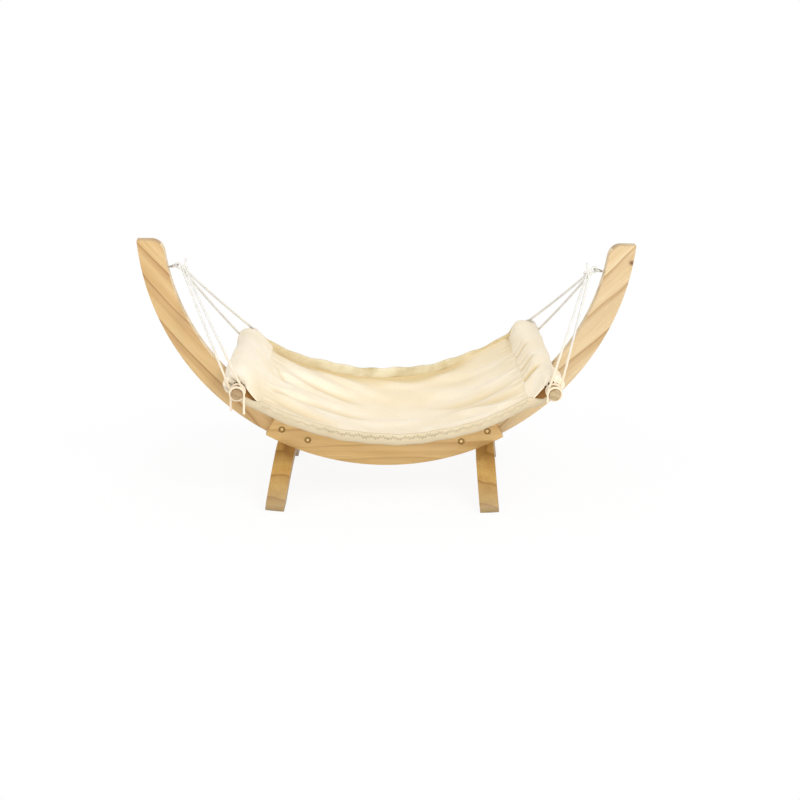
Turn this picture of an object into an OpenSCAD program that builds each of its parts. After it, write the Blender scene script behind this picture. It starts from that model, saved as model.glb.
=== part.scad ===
// Crescent cat hammock
// A bolted, curved pine frame stands on two arched feet and carries a cloth bed on cotton rope.
// +X runs along the crescent, +Y to the back and +Z up. The origin is on the floor, under the middle.

/* [Crescent frame] */
// Outer radius of the crescent
crescent_r = 376; // [366:1:386]
// Width of the curved planks, from outer edge to inner edge
plank_w = 38.5; // [35:0.5:42]
// Thickness of the two arms
arm_t = 20; // [16:0.5:24]
// Thickness of each splice plate
plate_t = 20; // [15:0.5:24]
// Height of the crescent's lowest point above the floor
ground_gap = 34; // [31:0.5:38]
// Height of the flat arm tips above the floor
tip_height = 378; // [366:1:388]
// Radius of the rounded inner corner of each tip
tip_round = 20; // [10:1:24]
// Angle from straight down at which each arm begins between the plates
arm_start_angle = 14; // [10:0.5:16]
// Half of the angle that the plates span
plate_half_angle = 29; // [28:0.5:32]

/* [Frame bolts] */
// Shank diameter of the frame bolts
bolt_d = 5; // [4:0.5:6]
// Head diameter of the frame bolts
bolt_head_d = 8.5; // [7.5:0.5:10]
// Head height of the frame bolts
bolt_head_h = 5; // [4:0.5:6]
// Width across the flats of the hexagon socket
bolt_socket_w = 4; // [3:0.5:5]
// Depth of the hexagon socket
bolt_socket_h = 2.5; // [1.5:0.5:3]
// Angle of the inner bolt of each arm from straight down
inner_bolt_angle = 19.3; // [18.5:0.1:20.5]
// Angle of the outer bolt of each arm from straight down
outer_bolt_angle = 26.2; // [25:0.1:26.5]
// Outer diameter of the washers
washer_d = 10; // [9:0.5:12]
// Thickness of the washers
washer_t = 1; // [0.5:0.1:1.5]
// Width across the flats of the hexagon nuts
nut_w = 8; // [7:0.5:9]
// Thickness of the nuts
nut_t = 4; // [3:0.5:5]
// How far heads and nuts sit below the face of the plate
bolt_recess = 0.6; // [0.2:0.1:1.5]

/* [Feet] */
// Angle from straight down at which each foot stands under the crescent
foot_angle = 25.2; // [24.4:0.1:26]
// Length of each foot from toe to toe
foot_length = 300; // [280:2:320]
// Thickness of the foot planks
foot_t = 28; // [24:0.5:30]
// Depth of the arch under the crescent
foot_band = 36; // [32:0.5:40]
// Length of the flat pad under each toe
foot_pad = 36; // [30:1:44]
// Radius of the rounded toes
toe_round = 10; // [6:0.5:12]
// Inward lean of the foot planks
foot_lean = 7; // [4:0.5:8]
// Angle by which the feet are turned out of square, their front toes to the left
foot_turn = 3; // [0:0.5:4]
// How far both feet stand to the right of their even places
foot_shift = 3.5; // [0:0.5:5]
// Shank diameter of the foot screws
foot_screw_d = 4; // [3:0.5:5]
// Head diameter of the foot screws
foot_screw_head_d = 8; // [7:0.5:9]
// Head height of the foot screws
foot_screw_head_h = 3; // [2:0.5:4]
// How deep the foot screws bite into the plates
foot_screw_bite = 16; // [12:1:18]

/* [Screw eyes] */
// How far below the tips the screw eyes enter the arms
eye_below_tip = 42; // [36:1:48]
// Wire diameter of the screw eyes
eye_wire_d = 2.6; // [2:0.1:3]
// Outer diameter of the rings
eye_ring_d = 14; // [12.5:0.5:16]
// Bare shank between the arm and the ring
eye_neck = 4; // [2:0.5:7]
// Depth of the thread in the arm
eye_bite = 18; // [12:1:22]

/* [Dowels] */
// Diameter of the dowels
dowel_d = 16; // [14:0.5:18]
// Length of the dowels
dowel_length = 336; // [334:1:346]
// Height of the middle of the left dowel above the lowest point of the plates' inner edge
left_lift = 115; // [108:1:122]
// Height of the middle of the right dowel above the lowest point of the plates' inner edge
right_lift = 126; // [120:1:132]
// Gap between the left sleeve and the left arm
left_arm_gap = 28; // [20:1:34]
// Gap between the right sleeve and the right arm
right_arm_gap = 13.5; // [13:0.5:18]
// How much higher the rear end of the left dowel hangs
left_rise = 3; // [0:1:10]
// How much higher the rear end of the right dowel hangs
right_rise = 18; // [10:1:24]
// How much nearer to the middle the rear end of the left dowel hangs
left_toe = 4; // [0:1:12]
// How much nearer to the middle the rear end of the right dowel hangs
right_toe = 10; // [0:1:12]

/* [Cloth] */
// Thickness of the cloth
cloth_t = 2.2; // [1.8:0.1:3]
// Width of the bed, front edge to rear edge
bed_w = 272; // [262:1:272]
// Length of each sleeve along its dowel
sleeve_length = 272; // [268:1:274]
// Distance of each sleeve's seam from its dowel, towards the middle
seam_reach = 33; // [28:1:38]
// Drop of each sleeve's seam below its dowel
seam_drop = 12; // [8:1:15]
// Diameter of the puff of loose cloth above each dowel
puff_d = 22; // [20:0.5:24]
// Distance of the puff from the dowel, towards the middle
puff_reach = 10; // [8:0.5:12]
// Rise of the puff above the dowel
puff_rise = 5; // [3:0.5:7]
// Sag of the front edge of the bed
front_sag = 62; // [54:1:66]
// Sag of the rear edge of the bed
rear_sag = 52; // [46:1:58]
// Further sag along the middle of the bed
middle_sag = 27; // [15:1:30]
// Height of the folds beside the seams
fold_h = 5; // [2:0.5:7]
// Distance over which the folds die out
fold_length = 55; // [40:1:75]
// Folds across the bed at each seam
fold_count = 5; // [3:1:6]
// Height of the hem bands
hem_h = 17; // [12:0.5:20]
// Thickness of the hem bands
hem_t = 4.6; // [4:0.2:6]

/* [Ropes] */
// Diameter of the rope
rope_d = 3.6; // [3:0.1:3.8]
// Diameter of the knots
knot_d = 13; // [12:0.5:15]
// Distance of each knot from the ring, towards the middle
knot_reach = 10; // [8:0.5:13]
// Drop of each knot below the ring
knot_drop = 7.5; // [5:0.5:10]
// Distance of the first hitch from the end of the sleeve
hitch_offset = 8; // [7:0.5:9]
// Distance between the two hitches on a dowel end
hitch_spacing = 14.5; // [14:0.5:15.5]
// Length of the rope tails that hang from the left hitches
left_tail = 30; // [20:1:40]
// Length of the rope tails that hang from the right hitches
right_tail = 12; // [10:1:40]
// Sag of the rope between a knot and its hitch
rope_sag = 2; // [0:0.5:4]
// Length of the stray rope end above each knot
stray_end = 11; // [6:1:14]

/* [Hidden] */

// Sides of the hammock, ends of a dowel and strands of a hitch
left = -1;
right = 1;
front = -1;
rear = 1;
outer = 1;
inner = -1;

// Clearances and the overrun of cuts
overrun = 2;
hole_gap = 0.1;
counterbore_gap = 0.8;
thread_gap = 0.05;
seat_gap = 0.3;
turn_gap = 0.7;

// Counts of segments
round_segments = 96;
sector_steps = 6;
soft_segments = 32;
bed_steps_x = 28;
bed_steps_y = 20;
rope_sides = 8;
leg_steps = 16;
turn_step_angle = 22.5;
tail_steps = 4;
bend_steps = 8;

$fn = round_segments;

// Colours, as on the object
pine = "burlywood";
pine_shade = "tan";
steel = "silver";
cotton = "cornsilk";
hem_cotton = "wheat";
rope_white = "ivory";

// Places worked out from the sizes of the crescent
crescent_z = ground_gap + crescent_r;
inner_r = crescent_r - plank_w;
mid_r = crescent_r - plank_w / 2;
stack_t = arm_t + 2 * plate_t;
plate_y = (arm_t + plate_t) / 2;
tip_sweep_angle = 100;
function underside(x) = crescent_z - sqrt(pow(crescent_r, 2) - pow(x, 2));
function inner_edge_x(z) = sqrt(pow(inner_r, 2) - pow(crescent_z - z, 2));

// Bolt seats, measured along the bolts from the middle of the stack, front positive
front_seat = stack_t / 2 - bolt_recess - bolt_head_h;
rear_end = -stack_t / 2 + bolt_recess;
nut_seat = rear_end + nut_t;
washer_seat = nut_seat + washer_t;

// Arches of the feet, in the plane of the foot
foot_x = crescent_r * sin(foot_angle);
foot_crest = underside(foot_x + foot_t / 2) + overrun;
toe_y = foot_length / 2 - toe_round;
arch_rise = foot_crest - toe_round;
arch_r = (pow(toe_y, 2) + pow(arch_rise, 2) - pow(toe_round, 2)) / (2 * (arch_rise - toe_round));
arch_z = foot_crest - arch_r;
hollow_h = foot_crest - foot_band;
hollow_y = foot_length / 2 - foot_pad;
hollow_r = (pow(hollow_y, 2) + pow(hollow_h, 2)) / (2 * hollow_h);
hollow_z = hollow_h - hollow_r;
foot_dip = foot_t / 2 * sin(foot_lean);
foot_top_x = foot_x - underside(foot_x) * tan(foot_lean);
foot_screw_y = plate_y;
foot_screw_seat = hollow_z + sqrt(pow(hollow_r, 2) - pow(foot_screw_y, 2)) + 2 * foot_screw_head_h;
foot_screw_tip = underside(foot_top_x) + foot_screw_bite;

// Screw eyes
eye_z = tip_height - eye_below_tip;
eye_theta = acos((crescent_z - eye_z) / inner_r);
ring_r = (eye_ring_d - eye_wire_d) / 2;
function eye_edge(side) = [side * inner_r * sin(eye_theta), 0, eye_z];
function eye_inward(side) = [-side * sin(eye_theta), 0, cos(eye_theta)];
function ring_wire(side) = eye_edge(side) + (eye_neck + 2 * ring_r) * eye_inward(side);
function knot_place(side) = ring_wire(side) + [-side * knot_reach, 0, -knot_drop];

// Vectors
function unit(v) = v / norm(v);
function lerp(a, b, t) = a + (b - a) * t;

// Dowels: each has its own frame, with the axis to the rear, one direction to the right and one up
sleeve_r = dowel_d / 2 + seat_gap + cloth_t;
function dowel_z(side) = ground_gap + plank_w + (side == left ? left_lift : right_lift);
function dowel_x(side) =
    side * (inner_edge_x(dowel_z(side)) - sleeve_r - (side == left ? left_arm_gap : right_arm_gap));
function dowel_mid(side) = [dowel_x(side), 0, dowel_z(side)];
function dowel_axis(side) = side == left ?
    unit([left_toe, dowel_length, left_rise]) : unit([-right_toe, dowel_length, right_rise]);
function dowel_right(side) = unit(cross(dowel_axis(side), [0, 0, 1]));
function dowel_up(side) = cross(dowel_right(side), dowel_axis(side));
function on_dowel(side, across, along, up) =
    dowel_mid(side) + across * dowel_right(side) + along * dowel_axis(side) + up * dowel_up(side);

// Bed: a sheet between the two seams, where u runs from left to right and v from front to rear
function seam(side, v) = on_dowel(side, -side * seam_reach, v * bed_w / 2, -seam_drop);
function bed_base(u, v) = lerp(seam(left, v), seam(right, v), u);
function bed_sag(u, v) =
    4 * u * (1 - u) * (lerp(front_sag, rear_sag, (v + 1) / 2) + middle_sag * (1 - v * v));
function fold_fade(u) =
    let(span = norm(seam(right, 0) - seam(left, 0)))
    u * (1 - u) * (exp(-u * span / fold_length) + exp((u - 1) * span / fold_length)) * span / fold_length;
function bed_fold(u, v) = fold_h * fold_fade(u) * cos(180 * fold_count * (v + u / 2));
function bed_point(u, v) = bed_base(u, v) + [0, 0, bed_fold(u, v) - bed_sag(u, v)];

// Rope: two strands run from a knot to each dowel end, turn round it and end in a hanging tail
turn_r = dowel_d / 2 + seat_gap + rope_d / 2;
turn_pitch = rope_d + turn_gap;
first_turn = sleeve_length / 2 + hitch_offset;
function strand_start(side, end, strand) =
    knot_place(side) + [strand * side * turn_pitch / 2, end * turn_pitch / 2, -knot_d / 6];
function turn_along(end, strand) = end * (first_turn + (strand == outer ? 0 : hitch_spacing));
function strand_local(side, end, strand) =
    let(p = strand_start(side, end, strand) - dowel_mid(side))
    [side * (p * dowel_right(side)), p * dowel_up(side)];
function touch_angle(side, end, strand) =
    let(p = strand_local(side, end, strand))
    atan2(p[1], p[0]) - strand * acos(turn_r / norm(p));
function turn_end_angle(strand) = strand == outer ? -360 : 540;
function turn_point(side, end, strand, angle, done) =
    on_dowel(side, side * turn_r * cos(angle), turn_along(end, strand) + end * turn_pitch * done,
        turn_r * sin(angle));
function strand_leg(side, end, strand) =
    let(a = strand_start(side, end, strand),
        b = turn_point(side, end, strand, touch_angle(side, end, strand), 0))
    [for (i = [0 : leg_steps - 1])
        let(t = i / leg_steps) lerp(a, b, t) - [0, 0, 4 * rope_sag * t * (1 - t)]];
function strand_turn(side, end, strand) =
    let(from = touch_angle(side, end, strand), to = turn_end_angle(strand),
        steps = ceil(abs(to - from) / turn_step_angle))
    [for (i = [0 : steps])
        turn_point(side, end, strand, lerp(from, to, i / steps), abs(to - from) / 360 * i / steps)];
function strand_tail(side, end, strand) =
    let(from = touch_angle(side, end, strand), to = turn_end_angle(strand),
        start = turn_point(side, end, strand, to, abs(to - from) / 360),
        length = side == left ? left_tail : right_tail)
    [for (i = [1 : tail_steps]) start - [0, 0, length * i / tail_steps]];
function strand_path(side, end, strand) = concat(
    strand_leg(side, end, strand), strand_turn(side, end, strand), strand_tail(side, end, strand));

// Hang loop: a rope bight that goes through the ring and back to the knot
bight_r = eye_wire_d / 2 + seat_gap + rope_d / 2;
function hang_loop_path(side) =
    let(wire = ring_wire(side), knot = knot_place(side), pull = unit(knot - wire),
        across = cross(pull, [0, side, 0]), reach = norm(knot - wire) - knot_d / 4)
    concat(
        [wire + reach * pull + bight_r * across],
        [for (i = [0 : bend_steps])
            let(a = 180 * i / bend_steps) wire + bight_r * (cos(a) * across - sin(a) * pull)],
        [wire + reach * pull - bight_r * across]);

// Least gap of a winding to itself, between points at least half a turn apart
half_turn_points = ceil(180 / turn_step_angle);
function least_gap(path) =
    min([for (i = [0 : len(path) - 1 - half_turn_points], j = [i + half_turn_points : len(path) - 1])
        norm(path[i] - path[j])]) - rope_d;
echo(least_rope_gap = min([for (side = [left, right], end = [front, rear], strand = [outer, inner])
    least_gap(strand_path(side, end, strand))]));

// Solids from closed rings of points, one after the other, with triangles throughout
module loft(rings) {
    n = len(rings[0]);
    last = (len(rings) - 1) * n;
    walls = [for (k = [0 : len(rings) - 2], i = [0 : n - 1])
        let(a = k * n + i, b = k * n + (i + 1) % n, c = b + n, d = a + n) each [[c, b, a], [d, c, a]]];
    caps = [for (i = [1 : n - 2]) each [[0, i, i + 1], [last, last + i + 1, last + i]]];
    polyhedron(points = [for (ring = rings) each ring], faces = concat(walls, caps));
}

// Round tube along a path, with the rings turned as little as possible
function path_direction(path, i) =
    unit(path[min(i + 1, len(path) - 1)] - path[max(i - 1, 0)]);
function square_to(n, t) = unit(n - (n * t) * t);
module tube(path, d) {
    directions = [for (i = [0 : len(path) - 1]) path_direction(path, i)];
    first = square_to([0, 1, 0], directions[0]);
    normals = [for (i = 0, n = first; i < len(path);
        i = i + 1, n = i < len(path) ? square_to(n, directions[i]) : n) n];
    loft([for (i = [0 : len(path) - 1])
        [for (k = [0 : rope_sides - 1])
            let(a = 360 * k / rope_sides)
            path[i] + d / 2 * (cos(a) * normals[i] + sin(a) * cross(directions[i], normals[i]))]]);
}

// Sheet of cloth between a grid of upper points and a grid of lower points
module sheet(upper, lower) {
    columns = len(upper);
    rows = len(upper[0]);
    count = columns * rows;
    cells = [for (i = [0 : columns - 2], j = [0 : rows - 2])
        let(a = i * rows + j, b = a + 1, c = a + rows + 1, d = a + rows)
        each [[a, b, c], [a, c, d], [count + c, count + b, count + a], [count + d, count + c, count + a]]];
    rim = concat(
        [for (i = [0 : columns - 2]) i * rows],
        [for (j = [0 : rows - 2]) (columns - 1) * rows + j],
        [for (i = [columns - 1 : -1 : 1]) i * rows + rows - 1],
        [for (j = [rows - 1 : -1 : 1]) j]);
    walls = [for (k = [0 : len(rim) - 1])
        let(p = rim[k], q = rim[(k + 1) % len(rim)])
        each [[p, q, count + q], [p, count + q, count + p]]];
    polyhedron(
        points = concat([for (row = upper) each row], [for (row = lower) each row]),
        faces = concat(cells, walls));
}

// Plank cut from an outline in the XZ plane
module plank(thickness) {
    rotate([90, 0, 0]) linear_extrude(thickness, center = true) children();
}

// Curved band of the crescent between two angles from straight down
module crescent_band(from, to) {
    translate([0, crescent_z]) intersection() {
        difference() {
            circle(r = crescent_r);
            circle(r = inner_r);
        }
        polygon(concat([[0, 0]], [for (i = [0 : sector_steps])
            let(a = lerp(from, to, i / sector_steps)) 2 * crescent_r * [sin(a), -cos(a)]]));
    }
}

// What a rounded corner leaves off, outside a circle and inside a patch round the corner
module corner_waste(centre, radius, patch) {
    difference() {
        polygon(concat([centre], patch));
        translate(centre) circle(r = radius);
    }
}

// Frame of the bolts of one arm, along each bolt with its head forwards
module at_bolts(side) {
    for (angle = [inner_bolt_angle, outer_bolt_angle])
        translate([side * mid_r * sin(angle), 0, crescent_z - mid_r * cos(angle)])
            rotate([90, 0, 0]) children();
}
module at_all_bolts() {
    for (side = [left, right]) at_bolts(side) children();
}
module along(from, to, d) {
    translate([0, 0, from]) cylinder(d = d, h = to - from);
}
module hexagon(from, to, width) {
    translate([0, 0, from]) cylinder(d = width / cos(30), h = to - from, $fn = 6);
}
module bolt_hole() {
    along(-stack_t, stack_t, bolt_d + 2 * hole_gap);
}

// Frame of one screw eye, along its shank towards the middle
module at_eye(side) {
    translate(eye_edge(side)) rotate([0, -side * eye_theta, 0]) children();
}

module arm_outline() {
    tip_x = sqrt(pow(inner_r + tip_round, 2) - pow(crescent_z - tip_height + tip_round, 2));
    tip_centre = [tip_x, tip_height - tip_round];
    to_tip = unit(tip_centre - [0, crescent_z]);
    difference() {
        intersection() {
            crescent_band(arm_start_angle, tip_sweep_angle);
            square([crescent_r + overrun, tip_height]);
        }
        corner_waste(tip_centre, tip_round, [
            [tip_x, tip_height + overrun],
            [inner_edge_x(tip_height) - overrun, tip_height + overrun],
            [0, crescent_z] + (inner_r - overrun) * to_tip
        ]);
    }
}
module arm(side) {
    color(pine) difference() {
        mirror([side == left ? 1 : 0, 0, 0]) plank(arm_t) arm_outline();
        at_bolts(side) bolt_hole();
        at_eye(side) along(-eye_bite - thread_gap, overrun, eye_wire_d + 2 * thread_gap);
    }
}
module left_arm() arm(left);
module right_arm() arm(right);

// Holes for the foot screws
module foot_screw_holes() {
    for (side = [left, right])
        at_foot_screws(side)
            along(0, foot_screw_tip + thread_gap, foot_screw_d + 2 * thread_gap);
}
module plate(end) {
    difference() {
        translate([0, end * plate_y, 0]) plank(plate_t) crescent_band(-plate_half_angle, plate_half_angle);
        at_all_bolts() bolt_hole();
        foot_screw_holes();
    }
}
module front_plate() {
    color(pine) difference() {
        plate(front);
        at_all_bolts() along(front_seat, stack_t, bolt_head_d + 2 * counterbore_gap);
    }
}
module rear_plate() {
    color(pine) difference() {
        plate(rear);
        at_all_bolts() along(-stack_t, washer_seat, washer_d + 2 * counterbore_gap);
    }
}

// Frame of one foot, with its own Z along the leaning plank
module at_foot(side) {
    translate([side * foot_x + foot_shift, 0, 0]) rotate([0, -side * foot_lean, -foot_turn])
        translate([0, 0, -foot_dip]) children();
}
module at_foot_screws(side) {
    for (end = [front, rear]) at_foot(side) translate([0, end * foot_screw_y, 0]) children();
}
module foot_outline() {
    difference() {
        translate([0, arch_z]) circle(r = arch_r);
        translate([0, hollow_z]) circle(r = hollow_r);
        translate([-foot_length, -2 * arch_r]) square([2 * foot_length, 2 * arch_r]);
        for (end = [front, rear])
            corner_waste([end * toe_y, toe_round], toe_round, [
                [end * toe_y, toe_round] + foot_length * unit([end * toe_y, toe_round - arch_z]),
                [end * foot_length, -overrun],
                [end * toe_y, -overrun]
            ]);
    }
}
module foot(side) {
    color(pine_shade) difference() {
        at_foot(side) rotate([0, 0, 90]) plank(foot_t) foot_outline();
        translate([0, 0, -foot_length / 2]) cube([4 * foot_x, 2 * foot_length, foot_length], center = true);
        translate([0, 0, crescent_z]) rotate([90, 0, 0])
            cylinder(r = crescent_r, h = 2 * foot_length, center = true);
        at_foot_screws(side) {
            along(0, foot_screw_seat, foot_screw_head_d + 2 * counterbore_gap);
            along(0, foot_crest, foot_screw_d + 2 * thread_gap);
        }
    }
}
module left_foot() foot(left);
module right_foot() foot(right);

module frame_bolts() {
    color(steel) at_all_bolts() difference() {
        union() {
            along(front_seat, front_seat + bolt_head_h, bolt_head_d);
            along(rear_end, front_seat, bolt_d);
        }
        hexagon(front_seat + bolt_head_h - bolt_socket_h, front_seat + bolt_head_h + overrun, bolt_socket_w);
    }
}
module frame_washers() {
    color(steel) at_all_bolts() difference() {
        along(nut_seat, washer_seat, washer_d);
        bolt_hole();
    }
}
module frame_nuts() {
    color(steel) at_all_bolts() difference() {
        hexagon(rear_end, nut_seat, nut_w);
        along(-stack_t, stack_t, bolt_d + 2 * thread_gap);
    }
}
module foot_screws() {
    color(steel) for (side = [left, right]) at_foot_screws(side) {
        along(foot_screw_seat - foot_screw_head_h, foot_screw_seat, foot_screw_head_d);
        along(foot_screw_seat, foot_screw_tip, foot_screw_d);
    }
}

module screw_eye(side) {
    color(steel) at_eye(side) {
        along(-eye_bite, eye_neck + eye_wire_d / 2, eye_wire_d);
        translate([0, 0, eye_neck + ring_r]) rotate([0, 90, 0])
            rotate_extrude() translate([ring_r, 0]) circle(d = eye_wire_d);
    }
}
module left_screw_eye() screw_eye(left);
module right_screw_eye() screw_eye(right);

// Frame of one dowel, with its own Y along the dowel
module at_dowel(side) {
    r = dowel_right(side);
    a = dowel_axis(side);
    u = dowel_up(side);
    m = dowel_mid(side);
    multmatrix([[r[0], a[0], u[0], m[0]], [r[1], a[1], u[1], m[1]], [r[2], a[2], u[2], m[2]], [0, 0, 0, 1]])
        children();
}
module dowel(side) {
    color(pine) at_dowel(side) rotate([90, 0, 0]) cylinder(d = dowel_d, h = dowel_length, center = true);
}
module left_dowel() dowel(left);
module right_dowel() dowel(right);

// Sleeve: a loop of cloth round the dowel that puffs up beside it and closes at the seam
module sleeve_loop(side, wall, seam_d) {
    hull() {
        circle(r = sleeve_r - wall, $fn = soft_segments);
        translate([-side * puff_reach, puff_rise]) circle(r = puff_d / 2 - wall, $fn = soft_segments);
        translate([-side * seam_reach, -seam_drop]) circle(d = seam_d, $fn = soft_segments);
    }
}
module sleeve(side) {
    color(cotton) at_dowel(side) plank(sleeve_length) difference() {
        sleeve_loop(side, 0, 3 * cloth_t);
        sleeve_loop(side, cloth_t, cloth_t);
    }
}
module left_sleeve() sleeve(left);
module right_sleeve() sleeve(right);

module bed_cloth() {
    half = [0, 0, cloth_t / 2];
    grid = [for (i = [0 : bed_steps_x]) [for (j = [0 : bed_steps_y])
        bed_point(i / bed_steps_x, 2 * j / bed_steps_y - 1)]];
    color(cotton) sheet(
        [for (row = grid) [for (p = row) p + half]],
        [for (row = grid) [for (p = row) p - half]]);
}

module hem(end) {
    edge = [for (i = [0 : bed_steps_x]) bed_point(i / bed_steps_x, end)];
    color(hem_cotton) loft([for (p = edge)
        [for (corner = [[1, -1], [1, 1], [-1, 1], [-1, -1]])
            p + [0, corner[0] * hem_t / 2, corner[1] * hem_h / 2]]]);
}
module front_hem() hem(front);
module rear_hem() hem(rear);

module knot(side) {
    color(rope_white) translate(knot_place(side)) {
        sphere(d = knot_d);
        cylinder(d = rope_d, h = knot_d / 2 + stray_end);
    }
}
module left_knot() knot(left);
module right_knot() knot(right);

module hang_loop(side) {
    color(rope_white) tube(hang_loop_path(side), rope_d);
}
module left_hang_loop() hang_loop(left);
module right_hang_loop() hang_loop(right);

module rope(side, end, strand) {
    color(rope_white) tube(strand_path(side, end, strand), rope_d);
}
module left_front_outer_rope() rope(left, front, outer);
module left_front_inner_rope() rope(left, front, inner);
module left_rear_outer_rope() rope(left, rear, outer);
module left_rear_inner_rope() rope(left, rear, inner);
module right_front_outer_rope() rope(right, front, outer);
module right_front_inner_rope() rope(right, front, inner);
module right_rear_outer_rope() rope(right, rear, outer);
module right_rear_inner_rope() rope(right, rear, inner);

left_arm();
right_arm();
front_plate();
rear_plate();
left_foot();
right_foot();
frame_bolts();
frame_washers();
frame_nuts();
foot_screws();
left_screw_eye();
right_screw_eye();
left_dowel();
right_dowel();
bed_cloth();
left_sleeve();
right_sleeve();
front_hem();
rear_hem();
left_knot();
right_knot();
left_hang_loop();
right_hang_loop();
left_front_outer_rope();
left_front_inner_rope();
left_rear_outer_rope();
left_rear_inner_rope();
right_front_outer_rope();
right_front_inner_rope();
right_rear_outer_rope();
right_rear_inner_rope();
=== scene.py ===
import math

import bmesh
import bpy
import numpy as np
from mathutils import Matrix, Vector


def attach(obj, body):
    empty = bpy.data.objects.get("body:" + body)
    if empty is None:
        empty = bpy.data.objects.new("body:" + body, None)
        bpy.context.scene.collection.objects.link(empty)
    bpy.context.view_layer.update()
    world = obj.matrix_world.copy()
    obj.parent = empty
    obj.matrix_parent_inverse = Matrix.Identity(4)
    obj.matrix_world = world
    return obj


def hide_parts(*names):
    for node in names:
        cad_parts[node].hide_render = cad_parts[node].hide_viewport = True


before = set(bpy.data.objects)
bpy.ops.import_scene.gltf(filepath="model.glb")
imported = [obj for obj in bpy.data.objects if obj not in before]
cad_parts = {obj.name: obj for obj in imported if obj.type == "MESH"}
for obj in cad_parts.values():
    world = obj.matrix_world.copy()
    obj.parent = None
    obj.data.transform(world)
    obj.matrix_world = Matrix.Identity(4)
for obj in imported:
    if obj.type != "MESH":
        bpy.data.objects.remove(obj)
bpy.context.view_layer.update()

# Units and sides
MM = 0.001
LEFT, RIGHT = -1, 1
FRONT, REAR = -1, 1
OUTER, INNER = 1, -1
SIDE_NAMES = {LEFT: "left", RIGHT: "right"}
END_NAMES = {FRONT: "front", REAR: "rear"}
STRAND_NAMES = {OUTER: "outer", INNER: "inner"}

# Sizes of the crescent and its screw eyes, as in the CAD source
CRESCENT_R = 376 * MM
PLANK_W = 38.5 * MM
GROUND_GAP = 34 * MM
TIP_HEIGHT = 378 * MM
EYE_BELOW_TIP = 42 * MM
EYE_WIRE_D = 2.6 * MM
EYE_RING_D = 14 * MM
EYE_NECK = 4 * MM
CRESCENT_Z = GROUND_GAP + CRESCENT_R
INNER_R = CRESCENT_R - PLANK_W

# Sizes of the dowels
DOWEL_D = 16 * MM
DOWEL_LENGTH = 336 * MM
DOWEL_LIFT = {LEFT: 115 * MM, RIGHT: 126 * MM}
ARM_GAP = {LEFT: 28 * MM, RIGHT: 13.5 * MM}
DOWEL_RISE = {LEFT: 3 * MM, RIGHT: 18 * MM}
DOWEL_TOE = {LEFT: 4 * MM, RIGHT: 10 * MM}

# Sizes of the cloth
CLOTH_T = 2.2 * MM
SEAT_GAP = 0.3 * MM
BED_W = 272 * MM
SLEEVE_LENGTH = 272 * MM
SEAM_REACH = 33 * MM
SEAM_DROP = 12 * MM
FRONT_SAG = 55 * MM
REAR_SAG = 52 * MM
MIDDLE_SAG = 27 * MM
HEM_H = 17 * MM
HEM_T = 4.6 * MM
SLEEVE_R = DOWEL_D / 2 + SEAT_GAP + CLOTH_T

# Sizes of the rope
ROPE_D = 3.6 * MM
KNOT_D = 13 * MM
KNOT_REACH = 10 * MM
KNOT_DROP = 7.5 * MM
HITCH_OFFSET = 8 * MM
HITCH_SPACING = 14.5 * MM
TAIL_LENGTH = {LEFT: 30 * MM, RIGHT: 12 * MM}
ROPE_SAG = 2 * MM
STRAY_END = 11 * MM
TURN_GAP = 0.7 * MM
TURN_PITCH = ROPE_D + TURN_GAP
TURN_R = DOWEL_D / 2 + SEAT_GAP + ROPE_D / 2
FIRST_TURN = SLEEVE_LENGTH / 2 + HITCH_OFFSET

UP = np.array([0.0, 0.0, 1.0])
BACK = np.array([0.0, 1.0, 0.0])


def unit(v):
    return np.asarray(v, float) / np.linalg.norm(v)


def lerp(a, b, t):
    return a + (b - a) * t


def add_object(name, data):
    made = bpy.data.objects.new(name, data)
    bpy.context.scene.collection.objects.link(made)
    return made


# Places that follow from the sizes
def eye_edge(side):
    height = TIP_HEIGHT - EYE_BELOW_TIP
    return np.array([side * math.sqrt(INNER_R**2 - (CRESCENT_Z - height) ** 2), 0.0, height])


def eye_inward(side):
    return unit(np.array([0.0, 0.0, CRESCENT_Z]) - eye_edge(side))


def ring_wire(side):
    return eye_edge(side) + (EYE_NECK + EYE_RING_D - EYE_WIRE_D) * eye_inward(side)


def knot_place(side):
    return ring_wire(side) + np.array([-side * KNOT_REACH, 0.0, -KNOT_DROP])


def dowel_frame(side):
    """Middle of a dowel, and its directions to the right, along it to the rear, and up."""
    z = GROUND_GAP + PLANK_W + DOWEL_LIFT[side]
    x = side * (math.sqrt(INNER_R**2 - (CRESCENT_Z - z) ** 2) - SLEEVE_R - ARM_GAP[side])
    along = unit([-side * DOWEL_TOE[side], DOWEL_LENGTH, DOWEL_RISE[side]])
    right = unit(np.cross(along, UP))
    return np.array([x, 0.0, z]), right, along, np.cross(right, along)


DOWEL_FRAMES = {side: dowel_frame(side) for side in (LEFT, RIGHT)}


def on_dowel(side, across, along, up):
    """Point in the row frame for a place across, along and above a dowel's middle."""
    middle, right_dir, along_dir, up_dir = DOWEL_FRAMES[side]
    return middle + across * right_dir + along * along_dir + up * up_dir


def dowel_offsets(side, points):
    """How far points are to the right of a dowel's middle line and above it."""
    middle, right_dir, _, up_dir = DOWEL_FRAMES[side]
    return (points - middle) @ right_dir, (points - middle) @ up_dir


# Camera at the photograph's viewing angle
PHOTO_PX = 800
FOCAL_PX = 1850
SENSOR_MM = 36
CAMERA_PITCH = math.radians(17)
CAMERA_YAW = math.radians(1.5)
CAMERA_ROLL = math.radians(0.96)
CAMERA_DISTANCE = 2854 * MM
CAMERA_AIM = MM * np.array([23.3, 0, 129.8])


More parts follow.
